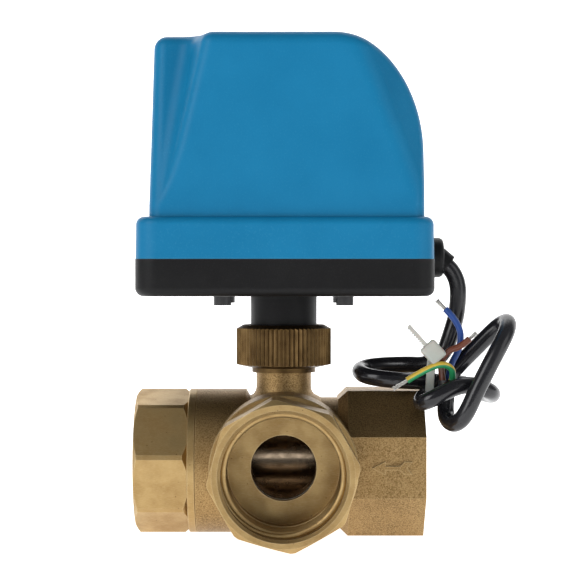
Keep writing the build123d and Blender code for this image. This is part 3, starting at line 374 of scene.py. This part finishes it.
# ---------------------------------------------------------------- pipe threads
THREAD_WALL, THREAD_CREST, THREAD_PITCH = 16.66, 15.15, 2.309
THREAD_STEPS = 96  # in each turn
FADE_IN, FADE_OUT = 20, 30  # steps over which the ridge rises and falls
THREAD_SUNK = 0.02  # how far the ridge's foot is sunk in the wall
THREAD_CROWN = 0.12  # how far the crest stands above its shoulders
FOOT_HALF, CROWN_HALF = 0.49, 0.09  # half widths, as shares of the pitch


def pipe_thread(name, outward, low, high):
    """A female pipe thread: one helical ridge on a port's wall, tapering off at both ends."""
    middle = Z * PORT_Z
    across = Z.cross(outward)
    total = int(((high - low) / THREAD_PITCH - 1) * THREAD_STEPS)
    rings = []
    for step in range(total + 1):
        fade = min(1.0, step / FADE_IN, (total - step) / FADE_OUT)
        foot = THREAD_WALL + THREAD_SUNK
        crest = THREAD_WALL - (THREAD_WALL - THREAD_CREST) * fade
        shoulder = crest + THREAD_CROWN * fade
        section = (
            (foot, -FOOT_HALF),
            (shoulder, -CROWN_HALF),
            (crest, 0.0),
            (shoulder, CROWN_HALF),
            (foot, FOOT_HALF),
        )
        height = low + THREAD_PITCH * (0.5 + step / THREAD_STEPS)
        radial = turned(Z, across, 2 * pi * step / THREAD_STEPS)
        rings.append(
            [middle + radial * radius + outward * (height + shift * THREAD_PITCH) for radius, shift in section]
        )
    piece = tube_piece(name, [rings])
    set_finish(piece, "turned_brass")
    return piece


threads = [
    pipe_thread("left_port_thread", -X, 25.3, 38.6),
    pipe_thread("front_port_thread", -Y, 25.3, 38.6),
    pipe_thread("right_port_thread", X, 25.3, 36.2),
]


# ---------------------------------------------------------------- materials
WORN_EDGE = 1 - 1 / 6  # cosine of the turn at which an edge counts as fully worn


class Surface:
    """A principled material whose patterns follow the object's own coordinates."""

    def __init__(self, name):
        self.material = bpy.data.materials.new(name)
        self.material.use_nodes = True
        self.tree = self.material.node_tree
        self.shader = self.tree.nodes["Principled BSDF"]
        self.place = self.node("ShaderNodeTexCoord").outputs["Object"]
        self.normal = None

    def node(self, kind, **settings):
        made = self.tree.nodes.new(kind)
        for key, value in settings.items():
            setattr(made, key, value)
        return made

    def feed(self, socket, value):
        """Links an output to a socket, or sets the socket's own value."""
        if isinstance(value, bpy.types.NodeSocket):
            self.tree.links.new(value, socket)
        else:
            socket.default_value = value

    def stretched(self, scale):
        """The coordinates scaled differently along each axis."""
        mapping = self.node("ShaderNodeMapping")
        self.feed(mapping.inputs["Vector"], self.place)
        self.feed(mapping.inputs["Scale"], scale)
        return mapping.outputs["Vector"]

    def noise(self, size, detail=3.0, roughness=0.55, place=None):
        """Noise whose features are about that many millimetres across."""
        noise = self.node("ShaderNodeTexNoise")
        self.feed(noise.inputs["Vector"], place or self.place)
        self.feed(noise.inputs["Scale"], 1 / (size * MM))
        self.feed(noise.inputs["Detail"], detail)
        self.feed(noise.inputs["Roughness"], roughness)
        return noise.outputs["Fac"]

    def spots(self, size):
        """Cells about that many millimetres across: 0 at their middles."""
        cells = self.node("ShaderNodeTexVoronoi")
        self.feed(cells.inputs["Vector"], self.place)
        self.feed(cells.inputs["Scale"], 1 / (size * MM))
        return cells.outputs["Distance"]

    def span(self, value, low, high, to_low=0.0, to_high=1.0):
        """The value taken from one range to another and held inside it."""
        mapped = self.node("ShaderNodeMapRange")
        self.feed(mapped.inputs["Value"], value)
        for socket, number in zip(("From Min", "From Max", "To Min", "To Max"), (low, high, to_low, to_high)):
            self.feed(mapped.inputs[socket], number)
        return mapped.outputs["Result"]

    def times(self, value, factor):
        """The value made weaker or stronger by a factor."""
        made = self.node("ShaderNodeMath", operation="MULTIPLY")
        self.feed(made.inputs[0], value)
        self.feed(made.inputs[1], factor)
        return made.outputs[0]

    def blend(self, share, first, second):
        """A mix of two colours."""
        mix = self.node("ShaderNodeMix", data_type="RGBA")
        self.feed(mix.inputs["Factor"], share)
        for socket, colour in ((mix.inputs["A"], first), (mix.inputs["B"], second)):
            self.feed(socket, colour if isinstance(colour, bpy.types.NodeSocket) else (*colour, 1.0))
        return mix.outputs["Result"]

    def bump(self, height, depth, strength):
        """Adds relief that deep over what is there."""
        made = self.node("ShaderNodeBump")
        self.feed(made.inputs["Distance"], depth * MM)
        self.feed(made.inputs["Strength"], strength)
        self.feed(made.inputs["Height"], height)
        if self.normal is not None:
            self.feed(made.inputs["Normal"], self.normal)
        self.normal = made.outputs["Normal"]

    def edges(self, width):
        """1 along the edges and 0 on the faces, from the normals that a bevel would give."""
        bevel = self.node("ShaderNodeBevel", samples=4)
        self.feed(bevel.inputs["Radius"], width * MM)
        flat = self.node("ShaderNodeNewGeometry").outputs["Normal"]
        dot = self.node("ShaderNodeVectorMath", operation="DOT_PRODUCT")
        self.feed(dot.inputs[0], bevel.outputs["Normal"])
        self.feed(dot.inputs[1], flat)
        return self.span(dot.outputs["Value"], 1.0, WORN_EDGE)

    def done(self, colour, roughness, **uniform):
        """Connects the colour, roughness and relief, and sets the uniform values."""
        self.feed(self.shader.inputs["Base Color"], colour)
        self.feed(self.shader.inputs["Roughness"], roughness)
        if self.normal is not None:
            self.feed(self.shader.inputs["Normal"], self.normal)
        for key, value in uniform.items():
            self.feed(self.shader.inputs[key.replace("_", " ")], value)
        return self.material


def cast_brass():
    """Sand-cast brass: blotches, a gritty skin with pits, and rubbed edges."""
    s = Surface("cast_brass")
    patches = s.noise(14, 4)
    grain = s.noise(0.36, 5, 0.75)
    pits = s.spots(0.9)
    base = s.blend(s.span(patches, 0.38, 0.62), (0.205, 0.126, 0.050), (0.30, 0.19, 0.078))
    base = s.blend(s.span(grain, 0.42, 0.66), base, (0.46, 0.315, 0.145))
    base = s.blend(s.times(s.span(grain, 0.46, 0.30), 0.8), base, (0.085, 0.05, 0.022))
    base = s.blend(s.times(s.edges(0.45), 0.7), base, (0.60, 0.45, 0.235))
    s.bump(grain, 0.07, 0.9)
    s.bump(s.span(pits, 0.0, 0.22), 0.08, 0.5)
    s.bump(s.noise(3.5, 2), 0.12, 0.6)
    return s.done(base, s.span(grain, 0.35, 0.7, 0.55, 0.38), Metallic=1.0)


def turned_brass():
    """Machined brass: stains, faint marks of the tool, dark specks and rubbed edges."""
    s = Surface("turned_brass")
    stain = s.noise(7, 5, 0.6)
    fine = s.noise(0.25, 3)
    marks = s.noise(0.9, 2, 0.5, s.stretched((1.0, 1.0, 7.0)))
    base = s.blend(s.span(stain, 0.40, 0.64), (0.43, 0.295, 0.128), (0.35, 0.225, 0.09))
    base = s.blend(s.times(s.span(marks, 0.45, 0.75), 0.45), base, (0.50, 0.37, 0.19))
    specks = s.span(s.spots(2.3), 0.10, 0.04)
    base = s.blend(s.times(specks, 0.75), base, (0.13, 0.075, 0.03))
    base = s.blend(s.times(s.edges(0.5), 0.7), base, (0.66, 0.52, 0.30))
    s.bump(fine, 0.045, 0.7)
    s.bump(marks, 0.03, 0.5)
    return s.done(base, s.span(stain, 0.35, 0.65, 0.38, 0.50), Metallic=1.0)


def nut_brass():
    """Dull brass with grime between the knurls, darkened all over as painted shade from the actuator's base
    above it.
    """
    s = Surface("nut_brass")
    grime = s.noise(4, 4, 0.6)
    fine = s.noise(0.3, 3)
    # Both colours are kept very dark as painted shade: the nut sits in the shadow of the actuator's base above
    # it.
    base = s.blend(s.span(grime, 0.38, 0.66), (0.150, 0.093, 0.038), (0.095, 0.056, 0.022))
    base = s.blend(s.times(s.edges(0.25), 0.65), base, (0.34, 0.225, 0.10))
    s.bump(fine, 0.04, 0.6)
    return s.done(base, s.span(grime, 0.35, 0.65, 0.36, 0.52), Metallic=1.0)


def plated_ball():
    """Polished plating with a haze and fine lines round it."""
    s = Surface("plated_ball")
    haze = s.noise(3, 3)
    lines = s.noise(0.35, 2, 0.5, s.stretched((0.04, 1.0, 1.0)))
    base = s.blend(s.span(haze, 0.35, 0.65), (0.35, 0.27, 0.19), (0.25, 0.19, 0.13))
    s.bump(lines, 0.02, 0.4)
    return s.done(base, s.span(haze, 0.35, 0.65, 0.16, 0.28), Metallic=1.0)


def steel():
    """Brushed steel with brighter edges."""
    s = Surface("steel")
    cloud = s.noise(5, 4)
    brushed = s.noise(0.5, 2, 0.5, s.stretched((0.1, 1.0, 1.0)))
    base = s.blend(s.span(cloud, 0.35, 0.65), (0.52, 0.52, 0.53), (0.66, 0.66, 0.67))
    base = s.blend(s.times(s.edges(0.3), 0.5), base, (0.8, 0.8, 0.8))
    s.bump(brushed, 0.02, 0.4)
    return s.done(base, s.span(cloud, 0.35, 0.65, 0.26, 0.4), Metallic=1.0)


def winding(name, colour, shade):
    """Turns of wire side by side."""
    s = Surface(name)
    turns = s.noise(0.4, 2, 0.5, s.stretched((0.1, 0.1, 1.0)))
    base = s.blend(s.span(turns, 0.35, 0.65), colour, shade)
    s.bump(turns, 0.05, 0.6)
    return s.done(base, s.span(turns, 0.35, 0.65, 0.25, 0.38), Metallic=1.0)


def board_green():
    """A circuit board's lacquer over its weave."""
    s = Surface("green_board")
    weave = s.noise(0.5, 2, 0.5, s.stretched((1.0, 0.2, 1.0)))
    base = s.blend(s.span(weave, 0.35, 0.65), (0.02, 0.20, 0.07), (0.035, 0.28, 0.10))
    s.bump(weave, 0.02, 0.4)
    return s.done(base, s.span(weave, 0.35, 0.65, 0.25, 0.35))


def striped_insulation():
    """Two-colour insulation: yellow above and green below."""
    s = Surface("green_yellow_insulation")
    split = s.node("ShaderNodeSeparateXYZ")
    s.feed(split.inputs[0], s.node("ShaderNodeNewGeometry").outputs["Normal"])
    share = s.span(split.outputs["Z"], 0.02, -0.02)
    fine = s.noise(1.5, 3)
    yellow = s.blend(s.span(fine, 0.3, 0.7), (0.72, 0.50, 0.07), (0.60, 0.42, 0.05))
    green = s.blend(s.span(fine, 0.3, 0.7), (0.02, 0.30, 0.11), (0.015, 0.22, 0.08))
    s.bump(fine, 0.02, 0.4)
    return s.done(s.blend(share, yellow, green), s.span(fine, 0.3, 0.7, 0.28, 0.4))


def plastic(name, colour, shade, edge, roughness, grain, edge_width, **uniform):
    """Moulded plastic: slow changes of shade, fine grain, dust in the grain and paler edges.

    The grain's two numbers are its size and its depth.
    """
    s = Surface(name)
    size, depth = grain
    slow = s.noise(18, 4, 0.6)
    fine = s.noise(size, 3, 0.6)
    base = s.blend(s.span(slow, 0.38, 0.64), colour, shade)
    base = s.blend(s.times(s.span(fine, 0.55, 0.8), 0.25), base, edge)
    base = s.blend(s.times(s.edges(edge_width), 0.45), base, edge)
    s.bump(fine, depth, 0.7)
    return s.done(base, s.span(slow, 0.35, 0.65, *roughness), **uniform)


PLASTICS = {
    "black_steel": dict(
        colour=(0.018, 0.018, 0.02),
        shade=(0.026, 0.026, 0.028),
        edge=(0.10, 0.10, 0.105),
        roughness=(0.3, 0.42),
        grain=(0.3, 0.02),
        edge_width=0.25,
    ),
    "blue_plastic": dict(
        colour=(0.003, 0.165, 0.34),
        shade=(0.004, 0.18, 0.365),
        edge=(0.05, 0.29, 0.47),
        roughness=(0.40, 0.48),
        grain=(0.5, 0.02),
        edge_width=0.9,
        Specular_IOR_Level=0.2,
    ),
    "black_plastic": dict(
        colour=(0.004, 0.004, 0.0045),
        shade=(0.006, 0.006, 0.0065),
        edge=(0.035, 0.035, 0.037),
        roughness=(0.42, 0.52),
        grain=(0.35, 0.03),
        edge_width=0.6,
        Specular_IOR_Level=0.2,
    ),
    "black_rubber": dict(
        colour=(0.012, 0.012, 0.013),
        shade=(0.018, 0.018, 0.018),
        edge=(0.04, 0.04, 0.04),
        roughness=(0.5, 0.6),
        grain=(0.4, 0.02),
        edge_width=0.3,
    ),
    "cable_jacket": dict(
        colour=(0.010, 0.010, 0.012),
        shade=(0.016, 0.016, 0.019),
        edge=(0.03, 0.03, 0.033),
        roughness=(0.17, 0.27),
        grain=(1.6, 0.03),
        edge_width=0.3,
    ),
    "tie_nylon": dict(
        colour=(0.44, 0.44, 0.40),
        shade=(0.50, 0.50, 0.46),
        edge=(0.60, 0.60, 0.57),
        roughness=(0.32, 0.42),
        grain=(0.8, 0.02),
        edge_width=0.3,
        Subsurface_Weight=0.15,
    ),
    "blue_insulation": dict(
        colour=(0.008, 0.055, 0.26),
        shade=(0.010, 0.065, 0.31),
        edge=(0.05, 0.13, 0.40),
        roughness=(0.26, 0.36),
        grain=(0.6, 0.02),
        edge_width=0.2,
    ),
    "brown_insulation": dict(
        colour=(0.13, 0.032, 0.014),
        shade=(0.17, 0.045, 0.02),
        edge=(0.26, 0.10, 0.055),
        roughness=(0.28, 0.38),
        grain=(0.6, 0.02),
        edge_width=0.2,
    ),
    "ptfe": dict(
        colour=(0.74, 0.74, 0.71),
        shade=(0.80, 0.80, 0.77),
        edge=(0.86, 0.86, 0.84),
        roughness=(0.38, 0.48),
        grain=(0.5, 0.01),
        edge_width=0.3,
    ),
    "white_plastic": dict(
        colour=(0.68, 0.68, 0.64),
        shade=(0.74, 0.74, 0.70),
        edge=(0.8, 0.8, 0.78),
        roughness=(0.35, 0.45),
        grain=(0.5, 0.02),
        edge_width=0.3,
    ),
    "red_plastic": dict(
        colour=(0.42, 0.02, 0.015),
        shade=(0.50, 0.03, 0.02),
        edge=(0.6, 0.12, 0.1),
        roughness=(0.35, 0.45),
        grain=(0.4, 0.02),
        edge_width=0.2,
    ),
    "yellow_plastic": dict(
        colour=(0.66, 0.44, 0.03),
        shade=(0.72, 0.48, 0.04),
        edge=(0.8, 0.6, 0.2),
        roughness=(0.25, 0.35),
        grain=(0.5, 0.02),
        edge_width=0.3,
    ),
}

materials = {
    "cast_brass": cast_brass(),
    "turned_brass": turned_brass(),
    "nut_brass": nut_brass(),
    "plated_ball": plated_ball(),
    "steel": steel(),
    "tinned_wire": winding("tinned_wire", (0.50, 0.49, 0.46), (0.62, 0.61, 0.58)),
    "copper_winding": winding("copper_winding", (0.50, 0.20, 0.07), (0.64, 0.30, 0.12)),
    "green_board": board_green(),
    "green_yellow_insulation": striped_insulation(),
    **{name: plastic(name, **look) for name, look in PLASTICS.items()},
}

for entry in frame["record"]["subparts"]:
    for place in frame["nodes"][entry["node"]].material_slots:
        place.material = materials[entry["material_slot"]]
for piece in [cable, *cores.values(), *strands, tie_strap, tie_head, tie_tail, *threads]:
    piece.data.materials.append(materials[piece["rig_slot"]])


# ---------------------------------------------------------------- studio, in metres
SWEEP_NEAR, SWEEP_FAR, SWEEP_R, SWEEP_TOP, SWEEP_HALF_W = -1.4, 0.55, 0.35, 1.6, 1.8
SWEEP_STEPS = 12
FLOOR_Z = -0.0003
STUDIO_PALE, STUDIO_SHADE = 0.90, 0.985  # the shade is a share of the pale


def studio_white():
    """A plain pale surface that also glows, like a light table."""
    s = Surface("studio_white")
    pale = s.blend(s.noise(60, 2), [STUDIO_PALE] * 3, [STUDIO_PALE * STUDIO_SHADE] * 3)
    return s.done(pale, 0.6, Emission_Color=(1.0, 1.0, 1.0, 1.0), Emission_Strength=1.0)


def sweep():
    """A floor that curves up into a back wall."""
    outline = [(SWEEP_NEAR, FLOOR_Z), (SWEEP_FAR, FLOOR_Z)]
    for step in range(1, SWEEP_STEPS + 1):
        angle = pi / 2 * step / SWEEP_STEPS
        outline.append((SWEEP_FAR + SWEEP_R * sin(angle), FLOOR_Z + SWEEP_R * (1 - cos(angle))))
    outline.append((SWEEP_FAR + SWEEP_R, SWEEP_TOP))
    points = [(side * SWEEP_HALF_W, y, z) for y, z in outline for side in (-1, 1)]
    faces = [(2 * n, 2 * n + 1, 2 * n + 3, 2 * n + 2) for n in range(len(outline) - 1)]
    data = bpy.data.meshes.new("studio_floor")
    data.from_pydata(points, [], faces)
    data.materials.append(studio_white())
    for face in data.polygons:
        face.use_smooth = True
    floor = bpy.data.objects.new("studio_floor", data)
    bpy.context.scene.collection.objects.link(floor)
    return floor


def softbox(name, place, target, size, power):
    """A soft rectangular light of that many watts, aimed at a point."""
    light = bpy.data.lights.new(name, "AREA")
    light.shape = "RECTANGLE"
    light.size, light.size_y = size
    light.energy = power
    lamp = bpy.data.objects.new(name, light)
    lamp.location = place
    lamp.rotation_euler = (Vector(target) - Vector(place)).to_track_quat("-Z", "Y").to_euler()
    bpy.context.scene.collection.objects.link(lamp)


sweep()
softbox("key_left", (-0.75, -0.75, 0.55), (0, 0, 0.07), (0.6, 0.8), 5.6)
softbox("fill_right", (0.85, -0.6, 0.35), (0, 0, 0.06), (0.6, 0.7), 1.6)
softbox("top_back", (0.05, 0.45, 0.85), (0, 0, 0.1), (0.9, 0.5), 1.5)

world = bpy.data.worlds.new("studio")
world.use_nodes = True
background = world.node_tree.nodes["Background"]
background.inputs["Color"].default_value = (0.95, 0.97, 1.0, 1.0)
background.inputs["Strength"].default_value = 0.18
bpy.context.scene.world = world
bpy.context.scene.view_settings.view_transform = "Standard"
